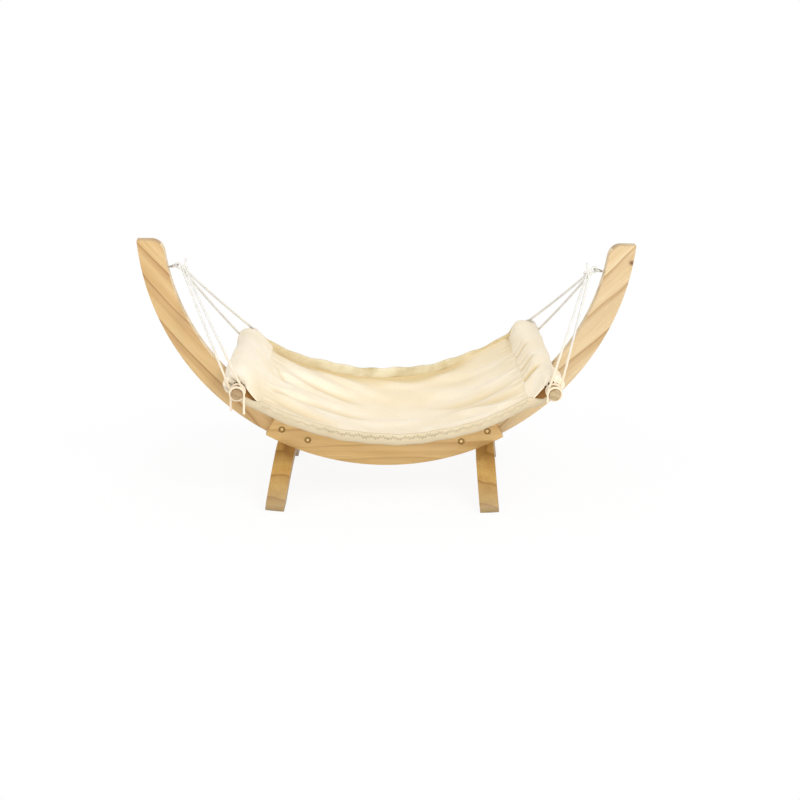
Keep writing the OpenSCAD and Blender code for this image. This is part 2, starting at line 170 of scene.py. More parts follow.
def make_camera():
    data = bpy.data.cameras.new("camera")
    data.sensor_width = SENSOR_MM
    data.lens = FOCAL_PX / PHOTO_PX * SENSOR_MM
    camera = add_object("camera", data)
    turn = Matrix.Rotation(-CAMERA_YAW, 4, "Z") @ Matrix.Rotation(math.pi / 2 - CAMERA_PITCH, 4, "X")
    turn = turn @ Matrix.Rotation(CAMERA_ROLL, 4, "Z")
    away = Matrix.Translation((0, 0, CAMERA_DISTANCE))
    camera.matrix_world = Matrix.Translation(CAMERA_AIM) @ turn @ away
    bpy.context.scene.camera = camera


make_camera()


# Meshes
def smooth_faces(made):
    made.data.polygons.foreach_set("use_smooth", [True] * len(made.data.polygons))


def mesh_object(name, points, faces, material):
    data = bpy.data.meshes.new(name)
    data.from_pydata([tuple(p) for p in points], [], faces)
    data.validate()
    made = add_object(name, data)
    smooth_faces(made)
    data.materials.append(material)
    return made


def set_materials(data, *materials):
    data.materials.clear()
    for material in materials:
        data.materials.append(material)


def store(made, name, values):
    """Keeps a value for each point of a mesh, which its material reads."""
    made.data.attributes.new(name, "FLOAT", "POINT").data.foreach_set("value", values)


def apply_modifiers(made):
    graph = bpy.context.evaluated_depsgraph_get()
    data = bpy.data.meshes.new_from_object(made.evaluated_get(graph))
    made.modifiers.clear()
    made.data = data


def grid_faces(rows, columns, close_columns=False):
    """Quads over a grid of points, row by row. The last column joins the first if it is closed."""
    last = columns if close_columns else columns - 1
    return [
        (i * columns + j, i * columns + (j + 1) % columns,
         (i + 1) * columns + (j + 1) % columns, (i + 1) * columns + j)
        for i in range(rows - 1)
        for j in range(last)
    ]


STEEP_SHARE = 0.8


def tube_rings(path, sections):
    """Rings of points along a path. Each section holds offsets in the ring's own plane."""
    path = np.asarray(path, float)
    tangents = np.gradient(path, axis=0)
    tangents /= np.linalg.norm(tangents, axis=1)[:, None]
    helper = UP if abs(tangents[0][2]) < STEEP_SHARE else BACK
    normal = unit(helper - (helper @ tangents[0]) * tangents[0])
    rings = []
    for place, tangent, section in zip(path, tangents, sections):
        normal = unit(normal - (normal @ tangent) * tangent)
        side = np.cross(tangent, normal)
        rings.append(place + section[:, :1] * normal + section[:, 1:] * side)
    return np.array(rings)


def tube_mesh(name, path, sections, material):
    rings = tube_rings(path, sections)
    count, around = rings.shape[:2]
    faces = grid_faces(count, around, close_columns=True)
    faces.append(tuple(range(around)))
    faces.append(tuple(range((count - 1) * around, count * around))[::-1])
    made = mesh_object(name, rings.reshape(-1, 3), faces, material)
    edit = bmesh.new()
    edit.from_mesh(made.data)
    bmesh.ops.recalc_face_normals(edit, faces=edit.faces)
    edit.to_mesh(made.data)
    edit.free()
    return made


def reach_along(path):
    """Distance of each point of a route from its start, along it."""
    return np.concatenate([[0.0], np.cumsum(np.linalg.norm(np.diff(path, axis=0), axis=1))])


def points_at(places, reach, path):
    """Points of a route at distances from its start."""
    return np.stack([np.interp(places, reach, column) for column in path.T], axis=1)


def resample(path, step):
    """The same route with points a step apart."""
    path = np.asarray(path, float)
    reach = reach_along(path)
    count = max(2, int(round(reach[-1] / step)) + 1)
    return points_at(np.linspace(0.0, reach[-1], count), reach, path)


def path_length(path):
    return float(np.linalg.norm(np.diff(np.asarray(path), axis=0), axis=1).sum())


# Shader nodes
WHITE = (1, 1, 1, 1)
BLACK = (0, 0, 0, 1)

# Sockets of a colour Mix node: its factor and two colours, and its result
MIX_INPUTS = (0, 6, 7)
MIX_RESULT = 2


def linear(r, g, b):
    """A colour as it looks on screen, from 0 to 255, as a shader colour."""
    def one(value):
        value /= 255
        return value / 12.92 if value <= 0.04045 else ((value + 0.055) / 1.055) ** 2.4
    return (one(r), one(g), one(b), 1.0)


def add_node(tree, kind, inputs=None, **settings):
    made = tree.nodes.new("ShaderNode" + kind)
    for name, value in settings.items():
        setattr(made, name, value)
    for key, value in (inputs or {}).items():
        if isinstance(value, bpy.types.NodeSocket):
            tree.links.new(value, made.inputs[key])
        else:
            made.inputs[key].default_value = value
    return made


def calc(tree, operation, a, b=0.0):
    return add_node(tree, "Math", {0: a, 1: b}, operation=operation).outputs[0]


def ramp(tree, factor, stops):
    made = add_node(tree, "ValToRGB", {"Fac": factor})
    ends = made.color_ramp.elements
    while len(ends) < len(stops):
        ends.new(0.5)
    for element, (place, colour) in zip(ends, stops):
        element.position = place
        element.color = colour
    return made.outputs["Color"]


def noise(tree, vector, scale=1.0, detail=2.0, roughness=0.5):
    made = add_node(tree, "TexNoise", {
        "Vector": vector, "Scale": scale, "Detail": detail, "Roughness": roughness})
    return made.outputs["Fac"]


def mapped(tree, location=(0, 0, 0), rotation=(0, 0, 0)):
    coords = add_node(tree, "TexCoord").outputs["Object"]
    made = add_node(tree, "Mapping", {"Vector": coords, "Location": location, "Rotation": rotation})
    return made.outputs["Vector"]


def stretched(tree, vector, scale):
    return add_node(tree, "Mapping", {"Vector": vector, "Scale": scale}).outputs["Vector"]


def mix_colour(tree, factor, a, b, blend="MIX"):
    inputs = dict(zip(MIX_INPUTS, (factor, a, b)))
    return add_node(tree, "Mix", inputs, data_type="RGBA", blend_type=blend).outputs[MIX_RESULT]


def shaded(tree, colour, factor, tone, low=0.3, high=0.65):
    """The colour, darkened by a tone where the factor is low."""
    grain = ramp(tree, factor, [(low, linear(*tone)), (high, WHITE)])
    return mix_colour(tree, 1.0, colour, grain, "MULTIPLY")


def tinted(tree, colour, name, tint):
    """The colour, taken to a tint by the values stored in a mesh under a name."""
    share = add_node(tree, "Attribute", attribute_name=name).outputs["Fac"]
    return mix_colour(tree, share, colour, linear(*tint))


def new_material(name, **values):
    """A material, its tree and its shader, with plain values set on the shader."""
    made = bpy.data.materials.new(name)
    made.use_nodes = True
    tree = made.node_tree
    shader = tree.nodes["Principled BSDF"]
    for key, value in values.items():
        shader.inputs[key.replace("_", " ")].default_value = value
    return made, tree, shader


def set_bump(tree, shader, height, strength, distance):
    bump = add_node(tree, "Bump", {"Height": height, "Strength": strength, "Distance": distance})
    tree.links.new(bump.outputs["Normal"], shader.inputs["Normal"])


def set_rough(tree, shader, factor, low, high):
    rough = add_node(tree, "MapRange", {"Value": factor, "To Min": low, "To Max": high})
    tree.links.new(rough.outputs["Result"], shader.inputs["Roughness"])


# Stretch of the noises of pine and steel along X, Y and Z
RING_WAVE_STRETCH = (2.2, 7, 9)
FIBRE_STRETCH = (14, 260, 620)
STREAK_STRETCH = (5, 40, 95)
SCRATCH_STRETCH = (300, 300, 2400)

# Growth rings: how far they wave, where early wood ends and late wood begins, and the tone between
RING_WAVE_SHARE = 1.9
RING_EARLY_SHARE = 0.45
RING_BETWEEN_SHARE = 0.84
RING_LATE_SHARE = 0.95
RING_BETWEEN_TONE_SHARE = 0.4

# Wood knots fade from their core to their rim
CORE_SHARE = 0.25
RIM_SHARE = 0.55
RIM_GREY = (0.55, 0.55, 0.55, 1)

# Wood greyer towards the floor
LOW_GREY_TOP = 45 * MM
LOW_GREY_WAVE = 20 * MM
LOW_GREY_SHARE = 0.75

# Painted shade for gathered and ruffled cloth and for rope beside a dowel, and the grain of the cotton
PAINTED_SHADE_TINT = (218, 194, 142)
RUFFLE_SHADE_TINT = (158, 144, 112)
TURN_SHADE_TINT = (234, 215, 187)
TUFT_SCALE = 900.0
FUZZ_SCALE = 1400.0
ROPE_TONE_SCALE = 60.0


def pine(name, early, late, turn, ring_gap, shift=(0, 0, 0), knots=(), ring_tilt=0.45, low_grey=None):
    """Pine with its grain along the turned X axis and its growth rings along the turned Z axis."""
    made, tree, shader = new_material(name, Roughness=0.5, Coat_Weight=0.12, Coat_Roughness=0.35)
    place = mapped(tree, location=shift, rotation=turn)
    parts = add_node(tree, "SeparateXYZ", {"Vector": place})
    wave = calc(tree, "SUBTRACT", noise(tree, stretched(tree, place, RING_WAVE_STRETCH), detail=3.0), 0.5)
    tilt = calc(tree, "MULTIPLY", parts.outputs["Y"], ring_tilt)
    ring = calc(tree, "ADD", parts.outputs["Z"], tilt)
    ring = calc(tree, "ADD", ring, calc(tree, "MULTIPLY", wave, ring_gap * RING_WAVE_SHARE))
    band = calc(tree, "FRACT", calc(tree, "DIVIDE", ring, ring_gap))
    early, late = linear(*early), linear(*late)
    between = tuple(lerp(np.array(early), np.array(late), RING_BETWEEN_TONE_SHARE))
    colour = ramp(tree, band, [
        (0.0, early), (RING_EARLY_SHARE, early), (RING_BETWEEN_SHARE, between),
        (RING_LATE_SHARE, late), (1.0, early)])
    fibre = noise(tree, stretched(tree, place, FIBRE_STRETCH), detail=4.0, roughness=0.6)
    streak = noise(tree, stretched(tree, place, STREAK_STRETCH))
    colour = shaded(tree, colour, fibre, (236, 226, 212), low=0.25, high=0.7)
    colour = shaded(tree, colour, streak, (240, 230, 214))
    for centre, radius, knot_colour in knots:
        coords = add_node(tree, "TexCoord").outputs["Object"]
        away = add_node(tree, "VectorMath", {0: coords, 1: tuple(centre)}, operation="DISTANCE")
        share = calc(tree, "DIVIDE", away.outputs["Value"], radius)
        spot = ramp(tree, share, [(CORE_SHARE, WHITE), (RIM_SHARE, RIM_GREY), (1.0, BLACK)])
        colour = mix_colour(tree, spot, colour, linear(*knot_colour))
    # Greyer towards the floor, below a wavy line
    if low_grey:
        height = add_node(tree, "SeparateXYZ", {"Vector": mapped(tree)}).outputs["Z"]
        height = calc(tree, "ADD", height, calc(tree, "MULTIPLY", wave, LOW_GREY_WAVE))
        greyed = add_node(tree, "MapRange", {
            "Value": height, "From Min": LOW_GREY_TOP, "From Max": 0.0, "To Max": LOW_GREY_SHARE})
        colour = mix_colour(tree, greyed.outputs["Result"], colour, linear(*low_grey))
    tree.links.new(colour, shader.inputs["Base Color"])
    set_rough(tree, shader, fibre, low=0.42, high=0.6)
    set_bump(tree, shader, fibre, strength=0.25, distance=0.25 * MM)
    return made


def cloth_material(name, light, shade, weave_gap, plush, tint=PAINTED_SHADE_TINT, mouth_shade=None, patches=22.0):
    """Cotton tinted by its stored tone and painted shade, with deeper painted shade in its ruffles and
    painted shade in its mouths.
    """
    made, tree, shader = new_material(name, Roughness=0.92, Sheen_Weight=0.25, Sheen_Roughness=0.5)
    place = mapped(tree)
    broad = noise(tree, place, scale=patches, detail=3.0)
    tuft = noise(tree, place, scale=TUFT_SCALE, detail=3.0, roughness=0.7)
    colour = ramp(tree, broad, [(0.3, linear(*shade)), (0.68, linear(*light))])
    colour = shaded(tree, colour, tuft, (238, 230, 216))
    # Painted shade, and on the thread a tone, from values stored on each mesh
    colour = tinted(tree, colour, "painted_shade_and_tone", tint)
    colour = tinted(tree, colour, "ruffle", RUFFLE_SHADE_TINT)
    if mouth_shade:
        colour = tinted(tree, colour, "mouth_shade", mouth_shade)
    tree.links.new(colour, shader.inputs["Base Color"])
    warp, weft = (
        add_node(tree, "TexWave", {
            "Vector": place, "Scale": 1 / weave_gap / (2 * math.pi), "Distortion": 0.6, "Detail": 1.0},
            bands_direction=direction).outputs["Fac"]
        for direction in ("X", "Y"))
    weave = calc(tree, "MULTIPLY", calc(tree, "ADD", warp, weft), 1.0 - plush)
    height = calc(tree, "ADD", weave, calc(tree, "MULTIPLY", tuft, 2.0 * plush))
    set_bump(tree, shader, height, strength=0.35, distance=0.4 * MM)
    return made


def rope_material():
    """Cotton rope, near white, with painted warm shade beside the dowels."""
    made, tree, shader = new_material(
        "rope_cotton", Roughness=0.9, Sheen_Weight=0.3, Sheen_Roughness=0.5)
    place = mapped(tree)
    fuzz = noise(tree, place, scale=FUZZ_SCALE, detail=3.0, roughness=0.65)
    tone = noise(tree, place, scale=ROPE_TONE_SCALE)
    colour = ramp(tree, tone, [(0.3, linear(222, 220, 214)), (0.7, linear(237, 235, 229))])
    colour = shaded(tree, colour, fuzz, (226, 225, 222))
    colour = tinted(tree, colour, "turn", TURN_SHADE_TINT)
    tree.links.new(colour, shader.inputs["Base Color"])
    set_bump(tree, shader, fuzz, strength=0.4, distance=0.2 * MM)
    return made


def steel_material(name, dark, bright):
    made, tree, shader = new_material(name, Metallic=1.0, Roughness=0.34)
    scratch = noise(tree, stretched(tree, mapped(tree), SCRATCH_STRETCH), detail=3.0)
    colour = ramp(tree, scratch, [(0.3, linear(*dark)), (0.7, linear(*bright))])
    tree.links.new(colour, shader.inputs["Base Color"])
    set_rough(tree, shader, scratch, low=0.26, high=0.46)
    return made


# Materials, with colours as they look on screen
ALONG_X = (0, 0, 0)
ALONG_Y = (0, 0, math.radians(90))
ALONG_LEFT_ARM = (0, math.radians(-48), 0)
ALONG_RIGHT_ARM = (0, math.radians(45), 0)
PLATE_SHIFT = (0.3, 0.1, 0.02)
FOOT_SHIFT = (0.1, 0.2, 0.008)
KNOT_RIGHT_ARM = MM * np.array([369, -10, 352])
KNOT_RIGHT_ARM_R = 6 * MM
MAT_ROPE = rope_material()
MAT_STEEL = steel_material("zinc_steel", (168, 164, 156), (222, 219, 212))
MAT_BOLT = steel_material("yellow_zinc", (206, 180, 128), (236, 216, 174))
# Painted shade: a darker zinc for the bolt heads' rims
MAT_BOLT_RIM_SHADE = steel_material("zinc_rim_painted_shade", (142, 108, 58), (170, 136, 84))
MAT_LEFT_ARM = pine("pine_left_arm", (213, 184, 133), (172, 132, 80), ALONG_LEFT_ARM, ring_gap=27 * MM)
MAT_RIGHT_ARM = pine(
    "pine_right_arm", (218, 198, 160), (180, 148, 102), ALONG_RIGHT_ARM, ring_gap=31 * MM,
    knots=[(KNOT_RIGHT_ARM, KNOT_RIGHT_ARM_R, (120, 78, 40))])
# Painted light: a paler pine for the arms' inner edges
MAT_ARM_EDGE_LIGHT = pine("pine_arm_edge_painted_light", (238, 220, 184), (222, 198, 156), ALONG_X, ring_gap=40 * MM)
MAT_PLATE = pine(
    "pine_plate", (221, 189, 129), (202, 166, 104), ALONG_X, ring_gap=24 * MM, shift=PLATE_SHIFT)
MAT_FOOT = pine(
    "pine_foot", (193, 158, 92), (157, 115, 56), ALONG_Y, ring_gap=27 * MM, shift=FOOT_SHIFT,
    ring_tilt=0.1, low_grey=(148, 128, 92))
MAT_LEFT_DOWEL = pine("dowel_wood_left", (170, 144, 106), (142, 114, 80), ALONG_Y, ring_gap=9 * MM)
MAT_RIGHT_DOWEL = pine("dowel_wood_right", (192, 175, 140), (160, 139, 104), ALONG_Y, ring_gap=9 * MM)
MAT_CLOTH = cloth_material(
    "cotton_plush", (254, 246, 229), (250, 238, 213), weave_gap=1.1 * MM, plush=0.75)
# The lining's mouth colour is painted shade inside the sleeves' front mouths
MAT_LINING = cloth_material(
    "cotton_lining", (244, 234, 212), (234, 220, 190), weave_gap=1.1 * MM, plush=0.3,
    mouth_shade=(158, 111, 52))
# The front hem's grey-beige and the rear lip's tan are partly the cloth's colour and partly painted shade
MAT_HEM = cloth_material(
    "cotton_hem", (234, 222, 194), (222, 207, 175), weave_gap=0.9 * MM, plush=0.3, tint=(184, 168, 138))
MAT_THREAD = cloth_material(
    "overlock_thread", (182, 170, 142), (146, 134, 108), weave_gap=0.5 * MM, plush=0.2,
    tint=(206, 192, 164))
MAT_LIP = cloth_material(
    "cotton_lip", (230, 225, 202), (195, 181, 139), weave_gap=0.9 * MM, plush=0.45,
    tint=(206, 182, 132), patches=34.0)


# Rope: three strands twisted round each other along a route
ROPE_STEP = 0.9 * MM
ROPE_LAY = 9 * MM
ROPE_POINTS = 18
ROPE_STRANDS = 3
ROPE_GROOVE_SHARE = 0.13
TURN_SHADE_REACH = (16 * MM, 75 * MM)
TURN_SHADE_SHARE = {FRONT: 1, REAR: 0.25}
SMOOTH_ROUNDS = 40
STRAND_DROP = KNOT_D / 6
LAST_TURN = {OUTER: math.radians(-360), INNER: math.radians(540)}
LEG_POINTS = 40
TURN_POINTS = 60
TAIL_POINTS = 12


def rope_sections(path, diameter):
    """Cross-sections with a lobe for each strand, turned along the route."""
    angles = np.linspace(0.0, 2 * math.pi, ROPE_POINTS, endpoint=False)
    sections = []
    for place in reach_along(path):
        lobes = np.abs(np.cos(ROPE_STRANDS / 2 * (angles - 2 * math.pi * place / ROPE_LAY)))
        radius = diameter / 2 * (1 - ROPE_GROOVE_SHARE + ROPE_GROOVE_SHARE * np.sqrt(lobes))
        sections.append(np.stack([radius * np.cos(angles), radius * np.sin(angles)], axis=1))
    return sections


def rope_piece(name, path, diameter=ROPE_D):
    return tube_mesh(name, path, rope_sections(path, diameter), MAT_ROPE)


def strand_start(side, end, strand):
    return knot_place(side) + np.array([
        strand * side * TURN_PITCH / 2, end * TURN_PITCH / 2, -STRAND_DROP])


def strand_route(side, end, strand):
    """Route of one strand: from its knot, round the dowel's end, and down as a tail."""
    start = strand_start(side, end, strand)
    across, up = dowel_offsets(side, start)
    touch = math.atan2(up, side * across) - strand * math.acos(TURN_R / np.linalg.norm([across, up]))
    first = FIRST_TURN + (0 if strand == OUTER else HITCH_SPACING)

    def turn_point(angle):
        done = abs(angle - touch) / math.radians(360)
        along = end * (first + TURN_PITCH * done)
        return on_dowel(side, side * TURN_R * math.cos(angle), along, TURN_R * math.sin(angle))

    contact = turn_point(touch)
    leg = [lerp(start, contact, t) - UP * 4 * ROPE_SAG * t * (1 - t)
           for t in np.linspace(0, 1, LEG_POINTS)[:-1]]
    turn = [turn_point(a) for a in np.linspace(touch, LAST_TURN[strand], TURN_POINTS)]
    tail = [turn[-1] - UP * TAIL_LENGTH[side] * t for t in np.linspace(0, 1, TAIL_POINTS)[1:]]
    return ease_route(resample(leg + turn + tail, ROPE_STEP), side)


def ease_route(path, side):
    """Rounds the route's corners, and keeps it outside the dowel."""
    _, right_dir, _, up_dir = DOWEL_FRAMES[side]
    for _ in range(SMOOTH_ROUNDS):
        path[1:-1] = (path[:-2] + 2 * path[1:-1] + path[2:]) / 4
        across, up = dowel_offsets(side, path)
        push = np.maximum(1, TURN_R / np.hypot(across, up)) - 1
        path = path + np.outer(across * push, right_dir) + np.outer(up * push, up_dir)
    return resample(path, ROPE_STEP)


def make_strands():
    for side in (LEFT, RIGHT):
        for end in (FRONT, REAR):
            for strand in (OUTER, INNER):
                name = "_".join((SIDE_NAMES[side], END_NAMES[end], STRAND_NAMES[strand], "rope"))
                path = strand_route(side, end, strand)
                piece = rope_piece(name + "_twist", path)
                away = np.hypot(*dowel_offsets(side, path))
                # Painted warm shade on the rope, strongest beside the dowel
                tint = np.interp(away, TURN_SHADE_REACH, (TURN_SHADE_SHARE[end], 0))
                store(piece, "turn", np.repeat(tint, ROPE_POINTS))
                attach(piece, "hammock")
                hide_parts(name)


make_strands()


# Knots: a drawn-up overhand knot with a stray end, and the bight through the screw eye
KNOT_SCALE = 1.75 * MM
KNOT_DEPTH_SHARE = 1.1
KNOT_POINTS = 90
STRAY_POINTS = 8
STRAY_LEAN = 2 * MM
STRAY_D = 0.8 * ROPE_D
BIGHT_R = EYE_WIRE_D / 2 + SEAT_GAP + ROPE_D / 2
BIGHT_POINTS = 24
BIGHT_NECK_SHARE = 0.4


def make_knots():
    for side in (LEFT, RIGHT):
        centre = knot_place(side)
        turns = np.linspace(0, 2 * math.pi, KNOT_POINTS)
        knot = np.stack([
            np.sin(turns) + 2 * np.sin(2 * turns),
            -KNOT_DEPTH_SHARE * np.sin(3 * turns),
            np.cos(turns) - 2 * np.cos(2 * turns)], axis=1) * KNOT_SCALE + centre
        piece = rope_piece(SIDE_NAMES[side] + "_knot_rope", resample(knot, ROPE_STEP))
        rise = np.linspace(0, 1, STRAY_POINTS)
        stray = centre + np.outer(rise * (KNOT_D / 2 + STRAY_END), UP)
        stray[:, 0] -= side * STRAY_LEAN * rise**2
        end = rope_piece(SIDE_NAMES[side] + "_stray_end", resample(stray, ROPE_STEP), STRAY_D)
        wire = ring_wire(side)
        pull = unit(centre - wire)
        across = np.cross(pull, side * BACK)
        bend = [wire + BIGHT_R * (math.cos(a) * across - math.sin(a) * pull)
                for a in np.linspace(0, math.pi, BIGHT_POINTS)]
        neck = BIGHT_NECK_SHARE * BIGHT_R * across
        loop = rope_piece(
            SIDE_NAMES[side] + "_hang_loop_rope",
            resample([centre + neck] + bend + [centre - neck], ROPE_STEP))
        for made in (piece, end, loop):
            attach(made, "hammock")
        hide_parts(SIDE_NAMES[side] + "_knot")
        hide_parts(SIDE_NAMES[side] + "_hang_loop")


make_knots()


# Wood: each plank takes its solid's shape, with eased edges
EASE_ANGLE = math.radians(35)
EASE_SEGMENTS = 3
ARM_EASE = 2.2 * MM
PLATE_EASE = 1.6 * MM
FOOT_EASE = 2 * MM
DOWEL_EASE = 1 * MM
WELD_GAP = 0.001 * MM
FLAT_ANGLE = math.radians(0.5)
EDGE_FACING_SHARE = 0.8


def eased_copy(node, material, ease, body):
    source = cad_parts[node]
    edit = bmesh.new()
    edit.from_mesh(source.data)
    bmesh.ops.remove_doubles(edit, verts=edit.verts, dist=WELD_GAP)
    bmesh.ops.dissolve_limit(edit, angle_limit=FLAT_ANGLE, verts=edit.verts, edges=edit.edges)
    data = bpy.data.meshes.new(node + "_wood")
    edit.to_mesh(data)
    edit.free()
    made = add_object(node + "_wood", data)
    bevel = made.modifiers.new("ease", "BEVEL")
    bevel.width = ease
    bevel.segments = EASE_SEGMENTS
    bevel.limit_method = "ANGLE"
    bevel.angle_limit = EASE_ANGLE
    bevel.use_clamp_overlap = True
    apply_modifiers(made)
    smooth_faces(made)
    made.data.set_sharp_from_angle(angle=EASE_ANGLE)
    set_materials(made.data, material)
    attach(made, body)
    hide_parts(node)
    return made


def paint_inner_edge_light(made):
    """Paints an arm's inner edge paler, as painted light on the faces turned towards the crescent's
    middle.
    """
    made.data.materials.append(MAT_ARM_EDGE_LIGHT)
    for face in made.data.polygons:
        inward = unit([-face.center.x, 0, CRESCENT_Z - face.center.z])
        if np.dot(inward, face.normal) > EDGE_FACING_SHARE:
            face.material_index = 1


for wood_node, wood_material, wood_ease, wood_slot in (
    ("left_arm", MAT_LEFT_ARM, ARM_EASE, "frame_pine"),
    ("right_arm", MAT_RIGHT_ARM, ARM_EASE, "frame_pine"),
    ("front_plate", MAT_PLATE, PLATE_EASE, "frame_pine"),
    ("rear_plate", MAT_PLATE, PLATE_EASE, "frame_pine"),
    ("left_foot", MAT_FOOT, FOOT_EASE, "foot_pine"),
    ("right_foot", MAT_FOOT, FOOT_EASE, "foot_pine"),
):
    wood_piece = eased_copy(wood_node, wood_material, wood_ease, "frame")
    # The arms' inner edges get painted light
    if wood_node.endswith("_arm"):
        paint_inner_edge_light(wood_piece)
for wood_node, wood_material in (("left_dowel", MAT_LEFT_DOWEL), ("right_dowel", MAT_RIGHT_DOWEL)):
    eased_copy(wood_node, wood_material, DOWEL_EASE, "hammock")


# Steel: the fasteners keep their solids and get their finish
for steel_node in ("frame_washers", "frame_nuts", "foot_screws", "left_screw_eye", "right_screw_eye"):
    set_materials(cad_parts[steel_node].data, MAT_STEEL)

BOLT_ANGLES = (19.3, 26.2)
BOLT_SOCKET_R = 2.4 * MM
BOLT_HEAD_FRONT_Y = -24 * MM
MID_R = CRESCENT_R - PLANK_W / 2


def darken_bolt_rims():
    """Paints the bolt heads' rims dark round their brighter sockets, as painted shade of their
    counterbores.
    """
    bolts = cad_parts["frame_bolts"].data
    set_materials(bolts, MAT_BOLT, MAT_BOLT_RIM_SHADE)
    centres = [
        (side * MID_R * math.sin(math.radians(a)), CRESCENT_Z - MID_R * math.cos(math.radians(a)))
        for side in (LEFT, RIGHT) for a in BOLT_ANGLES]
    for face in bolts.polygons:
        corners = [bolts.vertices[k].co for k in face.vertices]
        if all(c.y < BOLT_HEAD_FRONT_Y for c in corners):
            away = max(min(math.hypot(c.x - x, c.z - z) for x, z in centres) for c in corners)
            face.material_index = 0 if away < BOLT_SOCKET_R else 1


darken_bolt_rims()


# Cloth bed: a sagging sheet between the two seams, with folds
BED_COLUMNS = 220
BED_ROWS = 150
BED_T = 1.8 * MM
FOLD_H = 5 * MM
FOLD_LENGTH = 55 * MM
FOLD_COUNT = 5
REAR_DIP = 7 * MM
REAR_DIP_START_SHARE = 0.72
REAR_RISE = 5 * MM
RISE_SHARES = (0.68, 0.92)
FRONT_ROLL = 4 * MM
FRONT_ROLL_START_SHARE = 0.9
CORNER_DROP = {LEFT: 14 * MM, RIGHT: 9 * MM}
CORNER_START_SHARE = 0.35

# Folds of the bed: both ends as shares of its length and half width, then width and height in mm
BED_FOLDS = (
    ((0, 0.46), (0.07, 0.04), 6, -4.5),
    ((0, -0.60), (0.15, -0.22), 7, -3.6),
    ((0.02, -0.40), (0.20, -0.05), 10, 3.0),
    ((0.01, 0.22), (0.16, 0.30), 9, 2.6),
    ((0.08, 0.60), (0.34, 0.50), 11, 3.2),
    ((0.12, 0.42), (0.36, 0.32), 8, -2.4),
    ((0.17, 0.90), (0.45, 0.55), 10, 2.6),
    ((0.10, 0.02), (0.36, 0.06), 12, 2.8),
    ((0.14, -0.20), (0.40, -0.14), 10, -2.4),
    ((0.30, 0.94), (0.58, 0.74), 12, 2.0),
    ((0.03, -0.72), (0.28, -0.64), 10, -1.2),
    ((0.36, -0.34), (0.64, -0.22), 16, 1.8),
    ((0.97, -0.04), (0.62, 0.60), 12, 2.4),
    ((0.95, -0.26), (0.66, 0.12), 9, -2.0),
    ((0.99, -0.90), (0.76, -0.34), 10, 3.0),
    ((0.96, -0.62), (0.74, -0.16), 9, -2.2),
    ((0.96, 0.50), (0.68, 0.84), 10, 2.2),
    ((0.90, -0.80), (0.62, -0.60), 12, 2.0),
)

# Pleats beside the seams: place as a share of the seam's half length, reach and height in mm
PLEATS = {
    LEFT: (
        (-0.93, 24, 1.6), (-0.78, 34, 2.0), (-0.55, 26, 1.8),
        (-0.30, 30, 2.2), (-0.10, 22, 1.5), (0.12, 36, 2.2),
        (0.36, 22, 1.7), (0.58, 30, 2.0), (0.80, 20, 1.5),
        (0.94, 16, 1.2)),
    RIGHT: (
        (-0.92, 18, 1.4), (-0.74, 26, 2.4), (-0.55, 20, 1.6),
        (-0.40, 30, 2.8), (-0.22, 18, 1.4), (-0.05, 28, 2.6),
        (0.13, 18, 1.4), (0.31, 26, 2.2), (0.50, 20, 1.6),
        (0.70, 24, 1.8), (0.90, 14, 1.0)),
}
FOLD_GAIN = 1.5
FOLD_BOW_SHARE = 0.06
FOLD_START_SHARES = (-0.25, 0.3)
FOLD_END_SHARES = (1.25, 0.55)
FOLD_EDGE_SHARE = 0.9
FOLD_CLEAR_SHARES = (0.09, 0.93)
PLEAT_GAIN = 1.7
PLEAT_W = 3.6 * MM
PLEAT_SLANT = 0.35
PLEAT_FADE_SHARES = (1.2, 0.1)
TROUGH_W = 2.2 * PLEAT_W
TROUGH_SHARE = 0.6
BED_CLEAR_SHARES = (0.03, 0.97)

# Painted shade on the bed: how strong, and where it begins and is whole, along the bed and across it
SHADE_FULL_DEPTH = 6.5 * MM
CREST_PAINTED_LIGHT = 1 * MM
LENGTH_TINT_SHARES = ((0.18, 0.1, 0.5), (0.08, 0.6, 0.95))
WIDTH_TINT_SHARES = ((0.25, 0.15, 0.7), (0.25, 0.7, 1))
FRONT_TINT_SHARE = 0.42
FRONT_TINT_ALONG_SHARES = (0.36, 0.1)
FRONT_TINT_ACROSS_SHARES = (-0.35, -0.72)


def smooth_step(low, high, value):
    t = np.clip((value - low) / (high - low), 0, 1)
    return t * t * (3 - 2 * t)


def clear_of_seams(u, left, right):
    """From 0 at both seams to 1 between two shares of the bed's length."""
    return smooth_step(0, left, u) * smooth_step(1, right, u)


def right_rise(u):
    """From 0 to 1 where the bed's rear edge rises, towards the right sleeve."""
    return smooth_step(*RISE_SHARES, u)


def corner_drop(side, v):
    """How much lower a seam hangs near the bed's front corner."""
    return CORNER_DROP[side] * smooth_step(-CORNER_START_SHARE, -1, v)


def seam(side, v):
    return on_dowel(side, -side * SEAM_REACH, v * BED_W / 2, -SEAM_DROP - corner_drop(side, v))


BED_SPAN = float(np.linalg.norm(seam(RIGHT, 0) - seam(LEFT, 0)))


